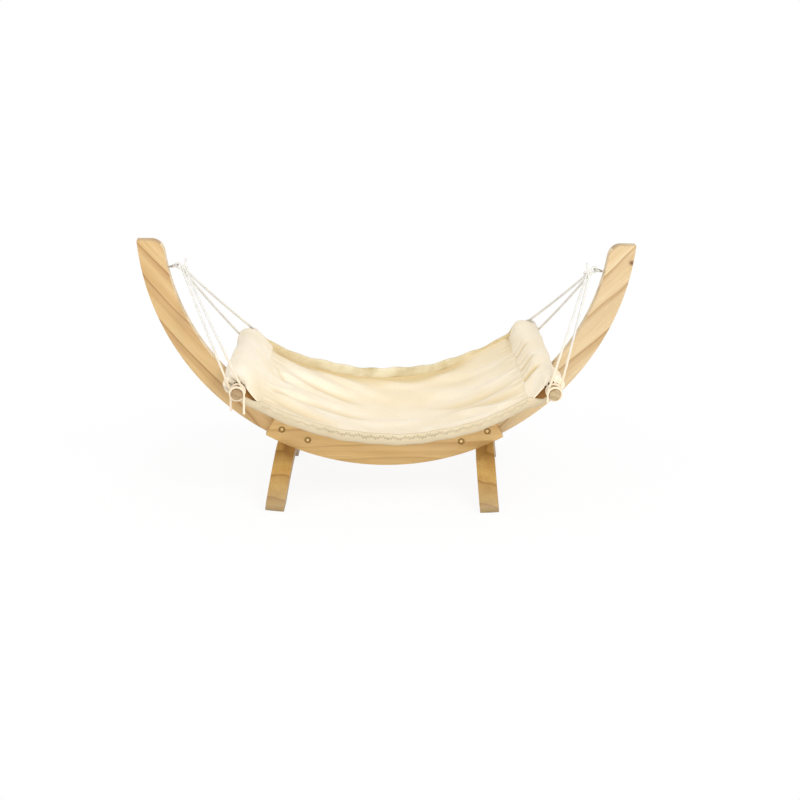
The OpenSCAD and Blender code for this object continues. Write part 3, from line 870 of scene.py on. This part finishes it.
def fold_height(u, v):
    """Height of all the folds at places on the bed."""
    x, y = u * BED_SPAN, v * BED_W / 2
    total = np.zeros_like(u)
    for (u0, v0), (u1, v1), width, height in BED_FOLDS:
        start = np.array([u0 * BED_SPAN, v0 * BED_W / 2])
        run = np.array([u1 * BED_SPAN, v1 * BED_W / 2]) - start
        length = np.linalg.norm(run)
        along = ((x - start[0]) * run[0] + (y - start[1]) * run[1]) / length**2
        across = ((x - start[0]) * run[1] - (y - start[1]) * run[0]) / length
        across = across + FOLD_BOW_SHARE * length * np.sin(math.pi * np.clip(along, 0, 1))
        taper = smooth_step(*FOLD_START_SHARES, along) * smooth_step(*FOLD_END_SHARES, along)
        total += height * MM * taper * np.exp(-((across / (width * MM)) ** 2))
    return total


def pleat_height(u, v):
    """Height of the gathered pleats beside the two seams."""
    total = np.zeros_like(u)
    far_share, near_share = PLEAT_FADE_SHARES
    for side, reach in ((LEFT, u * BED_SPAN), (RIGHT, (1 - u) * BED_SPAN)):
        for place, length, height in PLEATS[side]:
            across = (v - place) * BED_W / 2 - PLEAT_SLANT * reach
            fade = smooth_step(far_share * length * MM, near_share * length * MM, reach)
            ridge = np.exp(-((across / PLEAT_W) ** 2))
            trough = np.exp(-((across / TROUGH_W) ** 2))
            total += height * MM * fade * (ridge - TROUGH_SHARE * trough)
    return total


def bed_points(u, v):
    """Places on the bed, for arrays of shares of its length and half width."""
    left, right = (
        np.array([seam(side, one) for one in v.ravel()]).reshape(v.shape + (3,)) for side in (LEFT, RIGHT))
    sag = 4 * u * (1 - u) * (lerp(FRONT_SAG, REAR_SAG, (v + 1) / 2) + MIDDLE_SAG * (1 - v * v))
    fade = u * (1 - u) * (np.exp(-u * BED_SPAN / FOLD_LENGTH) + np.exp((u - 1) * BED_SPAN / FOLD_LENGTH))
    height = FOLD_H * fade * BED_SPAN / FOLD_LENGTH * np.cos(math.pi * FOLD_COUNT * (v + u / 2)) - sag
    return left + (right - left) * u[..., None] + UP * height[..., None]


def thicken(made, thickness, inner_material=0):
    solid = made.modifiers.new("thickness", "SOLIDIFY")
    solid.thickness = thickness
    solid.offset = 0
    solid.material_offset = inner_material
    apply_modifiers(made)
    smooth_faces(made)


def make_bed():
    along, across = np.linspace(0, 1, BED_COLUMNS + 1), np.linspace(-1, 1, BED_ROWS + 1)
    u, v = np.meshgrid(along, across, indexing="ij")
    height = FOLD_GAIN * fold_height(u, v) * smooth_step(1, FOLD_EDGE_SHARE, np.abs(v))
    height = height * clear_of_seams(u, *FOLD_CLEAR_SHARES)
    height = height + PLEAT_GAIN * pleat_height(u, v)
    rear_dip = lerp(REAR_DIP, -REAR_RISE, right_rise(u))
    height = height - rear_dip * smooth_step(REAR_DIP_START_SHARE, 1, v)
    height = height - FRONT_ROLL * smooth_step(-FRONT_ROLL_START_SHARE, -1, v)
    lift = height * clear_of_seams(u, *BED_CLEAR_SHARES)
    points = bed_points(u, v) + UP * lift[..., None]
    faces = grid_faces(BED_COLUMNS + 1, BED_ROWS + 1)
    bed = mesh_object("bed_sheet", points.reshape(-1, 3), faces, MAT_CLOTH)
    # Painted shade towards the right, towards the rear under the lip, at the front-left margin and in the
    # folds' valleys; painted light on their crests
    tint = sum(share * smooth_step(low, high, u) for share, low, high in LENGTH_TINT_SHARES)
    tint = tint + sum(share * smooth_step(low, high, v) for share, low, high in WIDTH_TINT_SHARES)
    front = smooth_step(*FRONT_TINT_ALONG_SHARES, u) * smooth_step(*FRONT_TINT_ACROSS_SHARES, v)
    tint = tint + FRONT_TINT_SHARE * front - np.minimum(height, CREST_PAINTED_LIGHT) / SHADE_FULL_DEPTH
    store(bed, "painted_shade_and_tone", np.clip(tint, 0, 1).ravel())
    long_way = path_length(points[:, BED_ROWS // 2])
    thicken(bed, BED_T)
    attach(bed, "hammock")
    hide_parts("bed_cloth")
    return bed, (long_way, BED_W)


bed_piece, bed_flat = make_bed()


# Sleeves: loops of cloth round the dowels, tight or puffed, as places towards the middle and up
SLEEVE_AROUND = 128
SLEEVE_ALONG = 190
SLEEVE_T = 1.6 * MM
TIGHT_LOOP = MM * np.array([
    (-10.3, 0), (-7.6, 7.2), (0, 10.4), (7.5, 9.4), (14, 5.0), (21, -2.0), (28, -8.3), (34, -11.6),
    (34, -14.2), (24, -13.4), (12, -11.8), (0, -10.3), (-7.6, -7.2)])
PUFFED_LOOP = MM * np.array([
    (-11.5, 1), (-9.5, 9.5), (-1, 15), (9, 17.5), (18, 14.5), (25, 6), (30.5, -4.5), (34, -11.2),
    (34, -14.6), (25, -15), (12, -13.5), (0, -11), (-8.2, -7)])
FRONT_LOOP = MM * np.array([
    (-9.7, 0), (-6.9, 6.9), (0, 9.9), (7.2, 8.4), (14, 0.8), (21, -6.5), (28, -10.9), (34, -12.6),
    (34, -14.8), (25, -12.8), (16, -10.8), (8, -10.2), (-3, -9.8)])
CORNER_FOLLOW_SHARES = (0, 0, 0, 0.02, 0.08, 0.28, 0.62, 1, 1, 0.95, 0.8, 0.5, 0.1)
PUFF_LEAN_SHARES = (0, 0.3, 0.7, 1, 1, 0.8, 0.4, 0, 0, 0, 0, 0, 0)
REAR_LEAN = {LEFT: (-5 * MM, -4 * MM), RIGHT: (7 * MM, 0)}
PUFF_FRONT_SHARE = {LEFT: 0.4, RIGHT: 0.2}
PUFF_MIDDLE_SHARE = {LEFT: 0.6, RIGHT: 0.75}
REAR_PUFF_SHARES = (0.1, 0.95)
FRONT_PUFF_SHARES = (-0.2, -0.95)
FRONT_LOOP_SHARES = (-0.55, -0.98)

# Loose cloth on the outer side of each sleeve: its reach at the rear and front, and where it changes
BULGE_SHARES = np.array([
    (-1, 0.1), (-0.8, 0.6), (-0.3, 0.75), (0, 0.35), (0, 0.1), *[(0, 0)] * 6, (-0.1, 0), (-0.5, -0.1)])
REAR_BULGE = {LEFT: 6 * MM, RIGHT: 0}
FRONT_BULGE = {LEFT: 12 * MM, RIGHT: 9 * MM}
BULGE_CHANGE_SHARES = {LEFT: (0.6, -0.5), RIGHT: (-0.42, -0.85)}
DRAWN_IN_SHARE = 0.93
PINCH_SHARES = (-0.6, -0.9, -0.93, -1)
PINCH_GAP = 3.2 * MM
MOUTH_SHARES = (-0.75, -0.9)
PINCH_REACH = 9.6 * MM
UPPER_SIDE = slice(3, 8)
LOWER_SIDE = (9, 10, 11)

# Creases up the right sleeve: place as a share of its half length, then reach, depth and width in mm
SLEEVE_CREASES = {
    LEFT: (),
    RIGHT: (
        (-0.50, 28, 3.0, 6.5), (-0.33, 15, 1.2, 4.2), (-0.18, 24, 2.0, 5.5),
        (-0.02, 14, 1.2, 4.2), (0.27, 22, 1.8, 5.5), (0.42, 13, 1.0, 4.2)),
}
CREASE_FULL_SHARE = 0.4
# Painted shade in the creases, over the right sleeve, near the left seam's front and in the ruffles'
# troughs
CREASE_SHADE_DEPTH = 2.8 * MM
SLEEVE_SHADE_SHARE = {LEFT: 0, RIGHT: 0.1}
SEAM_SHADE_SHARE = {LEFT: 0.42, RIGHT: 0}
SEAM_TINT_ALONG_SHARES = (-0.3, -0.72)
SEAM_TINT_REACH = (14 * MM, 31 * MM)
RIPPLE_LENGTH = 13 * MM
RIPPLE_H = 0.5 * MM
RUFFLE_SHARE = 0.9
RUFFLE_FADE = (14 * MM, 9 * MM)
RUFFLE_H = 1.4 * MM
RUFFLE_REACH = 1.6 * MM
RUFFLE_COUNT = 16
RUFFLE_SHADE_SHARES = {LEFT: (0.4, 0.6), RIGHT: (0.05, 0.25)}
REAR_RUFFLE_SHARE = 0.35
LEAST_R = DOWEL_D / 2 + SEAT_GAP + SLEEVE_T / 2
CURVE_STEPS = 12


def closed_curve(corners, count):
    """Smooth closed curve through the corners, with points evenly spread."""
    n = len(corners)
    places = np.linspace(0, n, CURVE_STEPS * n, endpoint=False)
    k = places.astype(int)
    t = (places - k)[:, None]
    a, b, c, d = (corners[(k + shift) % n] for shift in (-1, 0, 1, 2))
    curve = b + 0.5 * t * (c - a + t * (2 * a - 5 * b + 4 * c - d + t * (3 * (b - c) + d - a)))
    closed = np.vstack([curve, curve[:1]])
    reach = reach_along(closed)
    return points_at(np.linspace(0, reach[-1], count, endpoint=False), reach, closed)


def pinched(corners):
    """The same loop with its lower layer drawn up under the upper one, beside the dowel."""
    made = corners.copy()
    upper = corners[UPPER_SIDE]
    for k in LOWER_SIDE:
        made[k, 0] = max(made[k, 0], PINCH_REACH)
        made[k, 1] = np.interp(made[k, 0], upper[:, 0], upper[:, 1]) - PINCH_GAP
    return made


def sleeve_loop(side, s):
    """Cross-section of a sleeve at a share of its half length, front to rear."""
    rear = smooth_step(*REAR_PUFF_SHARES, s)
    front = smooth_step(*FRONT_PUFF_SHARES, s)
    puff = lerp(lerp(PUFF_MIDDLE_SHARE[side], 1.0, rear), PUFF_FRONT_SHARE[side], front)
    corners = lerp(TIGHT_LOOP, PUFFED_LOOP, puff)
    corners = corners + np.outer(PUFF_LEAN_SHARES, REAR_LEAN[side]) * rear
    corners = lerp(corners, FRONT_LOOP, smooth_step(*FRONT_LOOP_SHARES, s))
    corners[:, 1] -= np.array(CORNER_FOLLOW_SHARES) * corner_drop(side, s)
    begin, whole, ease, end = PINCH_SHARES
    corners = lerp(corners, pinched(corners), smooth_step(begin, whole, s) * smooth_step(end, ease, s))
    bulge = lerp(REAR_BULGE[side], FRONT_BULGE[side], smooth_step(*BULGE_CHANGE_SHARES[side], s))
    bulge = bulge * (1 - smooth_step(-DRAWN_IN_SHARE, -1, s))
    corners = corners + BULGE_SHARES * bulge
    return closed_curve(corners, SLEEVE_AROUND)


def sleeve_creases(side, along, loop):
    """Depth of the creases that run up a sleeve from its seam, on the upper side alone."""
    inward = loop[:, 0]
    total = np.zeros(len(loop))
    for place, *sizes in SLEEVE_CREASES[side]:
        reach, depth, width = (size * MM for size in sizes)
        across = along - place * SLEEVE_LENGTH / 2
        fade = smooth_step(SEAM_REACH - reach, SEAM_REACH - CREASE_FULL_SHARE * reach, inward)
        total += depth * fade * math.exp(-((across / width) ** 2))
    upper = np.arange(len(loop)) <= np.argmax(inward)
    return np.where(upper, total, 0)


def make_sleeve(side):
    angles = np.linspace(0, 2 * math.pi, SLEEVE_AROUND, endpoint=False)
    shares = np.linspace(-1, 1, SLEEVE_ALONG + 1)
    tint_level, tint_depth = RUFFLE_SHADE_SHARES[side]
    points, tints, ruffles, girths = [], [], [], []
    for s in shares:
        loop = sleeve_loop(side, s)
        girths.append(path_length(np.vstack([loop, loop[:1]])))
        run = np.roll(loop, -1, axis=0) - np.roll(loop, 1, axis=0)
        outward = np.stack([-run[:, 1], run[:, 0]], axis=1)
        outward /= np.linalg.norm(outward, axis=1)[:, None]
        along = s * SLEEVE_LENGTH / 2
        creases = sleeve_creases(side, along, loop)
        # Painted shade in the creases, near the left seam's front and lightly over the right sleeve
        edge = smooth_step(*SEAM_TINT_ALONG_SHARES, s) * smooth_step(*SEAM_TINT_REACH, loop[:, 0])
        tint = SLEEVE_SHADE_SHARE[side] + SEAM_SHADE_SHARE[side] * edge
        tints.append(np.clip(tint + creases / CREASE_SHADE_DEPTH, 0, 1))
        ripple = RIPPLE_H * np.sin(along / RIPPLE_LENGTH + 2 * angles + side) - creases
        ruffle = smooth_step(RUFFLE_SHARE, 1, abs(s)) * smooth_step(*RUFFLE_FADE, loop[:, 0])
        ruffle = ruffle * (1 if s < 0 else REAR_RUFFLE_SHARE)
        pleat = np.cos(RUFFLE_COUNT * angles + side + s)
        ripple = ripple + ruffle * RUFFLE_H * pleat
        # Deeper painted shade in the troughs of the front mouth's ruffles
        ruffles.append(ruffle * (tint_level + tint_depth * (1 - pleat) / 2) if s < 0 else 0 * ruffle)
        loop = loop + outward * ripple[:, None]
        away = np.linalg.norm(loop, axis=1)
        loop = loop * np.maximum(1, LEAST_R / away)[:, None]
        shift = np.sign(s) * ruffle * RUFFLE_REACH * np.cos(RUFFLE_COUNT * angles + 2 * side - s)
        for (inward, up), move in zip(loop, shift):
            points.append(on_dowel(side, -side * inward, along + move, up))
    faces = [face[::-side] for face in grid_faces(SLEEVE_ALONG + 1, SLEEVE_AROUND, close_columns=True)]
    made = mesh_object(SIDE_NAMES[side] + "_sleeve_loop", points, faces, MAT_CLOTH)
    store(made, "painted_shade_and_tone", np.concatenate(tints))
    store(made, "ruffle", np.concatenate(ruffles))
    # Painted shade inside the sleeve's front mouth
    store(made, "mouth_shade", np.repeat(smooth_step(*MOUTH_SHARES, shares), SLEEVE_AROUND))
    made.data.materials.append(MAT_LINING)
    thicken(made, SLEEVE_T, inner_material=1)
    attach(made, "hammock")
    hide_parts(SIDE_NAMES[side] + "_sleeve")


for sleeve_side in (LEFT, RIGHT):
    make_sleeve(sleeve_side)


# Hems: folded bands along the open edges, with a zigzag of thread
HEM_STEPS = 260
HEM_FACE_SHARES = np.array([
    (0.35, -1.0), (0.85, -0.86), (1.0, -0.45), (0.82, 0.0), (1.0, 0.45), (0.85, 0.86), (0.35, 1.0)])
HEM_WAVE = {FRONT: 1.0 * MM, REAR: 2.0 * MM}
HEM_WAVE_TURNS = ((61, 1), (23.7, 2))
HEM_CLEAR_SHARES = (0.08, 0.92)
HEM_SMOOTH_ROUNDS = 12
THREAD_D = 1.3 * MM
THREAD_POINTS = 5
ZIGZAG_PITCH = 4.6 * MM
ZIGZAG_H = 4.0 * MM
ZIGZAG_UP = 2.6 * MM
ZIGZAG_OUT_SHARE = 0.94
ZIGZAG_UNEVEN_SHARE = 0.7
ZIGZAG_UNEVEN_TURN = 2.3
ZIGZAG_FADE_SHARES = (0.3, 0.75)
ON_BED_SHARE = 0.99
LIP_NARROW_SHARE = 0.5
LIP_LIFT = 6 * MM

# Each hem runs on over the sleeves' ends: mm towards the middle and up, and shares of its height
REAR_TIPS = ((13, 15, 0.25), (19, 11.5, 0.35), (25, 3.5, 0.55), (29.5, -4.5, 0.8))
HEM_TIPS = {
    (FRONT, LEFT): (
        (3, -14.5, 0.5), (9, -17.8, 0.7), (15, -20.6, 0.72),
        (22, -24, 0.7), (28, -26.4, 0.8)),
    (FRONT, RIGHT): (
        (6, -17, 0.35), (12, -20.5, 0.5), (19, -22, 0.65),
        (27, -22, 0.85)),
    (REAR, LEFT): REAR_TIPS,
    (REAR, RIGHT): tuple((inward, up, min(share, LIP_NARROW_SHARE)) for inward, up, share in REAR_TIPS),
}
TIP_LEAN_SHARE = {FRONT: 0, REAR: 0.8}

# Painted shade and darker tone on the hems: least and most, and where it goes from one to the other
LIP_TINT_SHARES = (0.02, 0.6)
LIP_CHANGE_SHARES = (0.2, 0.95)
HEM_TINT_SHARES = (0.43, 0.75)
HEM_CHANGE_SHARES = (0.2, -0.6)


def hem_edge(end):
    """Route of a hem's middle, shares of its full height, and 1 where it is on the bed."""
    u = np.linspace(0, 1, HEM_STEPS + 1)
    edge = bed_points(u, np.full_like(u, end))
    wave = sum(np.sin(u * rate + turn * end) / 2 for rate, turn in HEM_WAVE_TURNS)
    edge[:, 2] += HEM_WAVE[end] * wave * clear_of_seams(u, *HEM_CLEAR_SHARES)
    narrow = right_rise(u) if end == REAR else np.zeros_like(u)
    edge[:, 2] += LIP_LIFT * narrow
    tips, heights = {}, {}
    for side in (LEFT, RIGHT):
        lean = np.array(REAR_LEAN[side]) * TIP_LEAN_SHARE[end]
        tips[side] = [on_dowel(side, -side * (inward * MM + lean[0]), end * BED_W / 2, up * MM + lean[1])
                      for inward, up, _ in HEM_TIPS[end, side]]
        heights[side] = [share for _, _, share in HEM_TIPS[end, side]]
    route = np.array(tips[LEFT] + list(edge) + tips[RIGHT][::-1])
    shares = np.array(heights[LEFT] + list(lerp(1, LIP_NARROW_SHARE, narrow)) + heights[RIGHT][::-1])
    on_bed = np.array([0] * len(heights[LEFT]) + [1] * len(edge) + [0] * len(heights[RIGHT]))
    reach = reach_along(route)
    even = np.linspace(0, reach[-1], HEM_STEPS + 1)
    route = points_at(even, reach, route)
    for _ in range(HEM_SMOOTH_ROUNDS):
        route[1:-1] = (route[:-2] + 2 * route[1:-1] + route[2:]) / 4
    return route, np.interp(even, reach, shares), np.interp(even, reach, on_bed)


def make_hem(end, material):
    section = np.vstack([HEM_FACE_SHARES, -HEM_FACE_SHARES])
    count = len(section)
    route, shares, _ = hem_edge(end)
    points = np.repeat(route[:, None, :], count, axis=1)
    points[:, :, 1] += section[:, 0] * HEM_T / 2
    points[:, :, 2] += shares[:, None] * section[:, 1] * HEM_H / 2
    faces = grid_faces(HEM_STEPS + 1, count, close_columns=True)
    faces += [tuple(range(count))[::-1], tuple(HEM_STEPS * count + k for k in range(count))]
    hem = mesh_object(END_NAMES[end] + "_hem_band", points.reshape(-1, 3), faces, material)
    # Painted shade towards both ends of the rear lip. Over the front hem, a darker tone, partly painted
    # shade, stronger on its lower half
    if end == REAR:
        off_middle = np.abs(np.linspace(-1, 1, HEM_STEPS + 1))
        tint = np.repeat(lerp(*LIP_TINT_SHARES, smooth_step(*LIP_CHANGE_SHARES, off_middle)), count)
    else:
        below = smooth_step(*HEM_CHANGE_SHARES, section[:, 1])
        tint = np.tile(lerp(*HEM_TINT_SHARES, below), HEM_STEPS + 1)
    store(hem, "painted_shade_and_tone", tint)
    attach(hem, "hammock")
    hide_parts(END_NAMES[end] + "_hem")
    return hem


def make_zigzag(end, face):
    """Overlock thread along one face of a hem band."""
    route, shares, on_bed = hem_edge(end)
    even = resample(route, ZIGZAG_PITCH / 2)
    reach = np.linspace(0, 1, len(even))
    steps = np.linspace(0, 1, len(shares))
    whole = np.interp(reach, steps, on_bed) > ON_BED_SHARE
    count = np.arange(len(even))
    uneven = 1 + ZIGZAG_UNEVEN_SHARE * np.sin(count * ZIGZAG_UNEVEN_TURN)
    swing = np.where(count % 2 == 0, 0.5, -0.5) * uneven
    height = np.interp(reach, steps, shares) * (ZIGZAG_UP + ZIGZAG_H * swing)
    path = (even + UP * height[:, None])[whole]
    path[:, 1] += face * HEM_T / 2 * ZIGZAG_OUT_SHARE
    angles = np.linspace(0, 2 * math.pi, THREAD_POINTS, endpoint=False)
    ring = THREAD_D / 2 * np.stack([np.cos(angles), np.sin(angles)], axis=1)
    name = END_NAMES[end] + "_hem_thread_" + END_NAMES[face]
    thread = tube_mesh(name, path, [ring] * len(path), MAT_THREAD)
    off_middle = np.abs(np.linspace(-1, 1, len(path)))
    store(thread, "painted_shade_and_tone", np.repeat(smooth_step(*ZIGZAG_FADE_SHARES, off_middle), len(ring)))
    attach(thread, "hammock")
    return thread


hems = [make_hem(FRONT, MAT_HEM), make_hem(REAR, MAT_LIP)]
hems += [make_zigzag(FRONT, FRONT), make_zigzag(FRONT, REAR), make_zigzag(REAR, REAR)]


# Floor, white surroundings and studio lamps
FLOOR_HALF = 6.0
FLOOR_COLOUR = (0.92, 0.92, 0.92, 1)


def seen_rays(tree):
    """1 for the rays that show a surface to the camera, straight or by way of gloss or glass."""
    path = add_node(tree, "LightPath")
    seen = calc(tree, "MAXIMUM", path.outputs["Is Camera Ray"], path.outputs["Is Glossy Ray"])
    return calc(tree, "MAXIMUM", seen, path.outputs["Is Transmission Ray"])


def make_stage():
    made, tree, shader = new_material("studio_floor", Roughness=0.9, Base_Color=FLOOR_COLOUR)
    corners = [(x * FLOOR_HALF, y * FLOOR_HALF, 0) for x, y in ((-1, -1), (1, -1), (1, 1), (-1, 1))]
    floor = mesh_object("floor", corners, [(0, 1, 2, 3)], made)
    lift = add_node(tree, "Emission", {"Color": WHITE, "Strength": 1.0})
    coords = add_node(tree, "TexCoord").outputs["Object"]
    away = add_node(tree, "VectorMath", {0: coords}, operation="LENGTH").outputs["Value"]
    share = add_node(tree, "MapRange", {
        "Value": away, "From Min": 0.25, "From Max": 0.75, "To Min": 0.9, "To Max": 1.0},
        interpolation_type="SMOOTHSTEP").outputs["Result"]
    blend = add_node(tree, "MixShader", {
        0: calc(tree, "MULTIPLY", seen_rays(tree), share), 1: shader.outputs[0], 2: lift.outputs[0]})
    tree.links.new(blend.outputs[0], tree.nodes["Material Output"].inputs["Surface"])

    world = bpy.data.worlds.new("studio")
    bpy.context.scene.world = world
    world.use_nodes = True
    tree = world.node_tree
    ground = tree.nodes["Background"]
    ground.inputs["Color"].default_value = WHITE
    level = add_node(tree, "MapRange", {"Value": seen_rays(tree), "To Min": 0.72, "To Max": 1.0})
    tree.links.new(level.outputs["Result"], ground.inputs["Strength"])


def add_lamp(name, place, target, size, power):
    data = bpy.data.lights.new(name, "AREA")
    data.shape = "DISK"
    data.size = size
    data.energy = power
    lamp = add_object(name, data)
    lamp.location = place
    lamp.rotation_mode = "QUATERNION"
    lamp.rotation_quaternion = (Vector(target) - Vector(place)).to_track_quat("-Z", "Y")


make_stage()
add_lamp("key_light", place=(1.8, -2.25, 2.9), target=(0, 0, 0.15), size=1.35, power=52)
add_lamp("front_light", place=(0.3, -2.6, 0.5), target=(0, 0, 0.12), size=1.6, power=22)
add_lamp("fill_light", place=(-1.8, -1.4, 1.4), target=(0, 0, 0.15), size=1.6, power=10)

bpy.context.scene.view_settings.view_transform = "Standard"
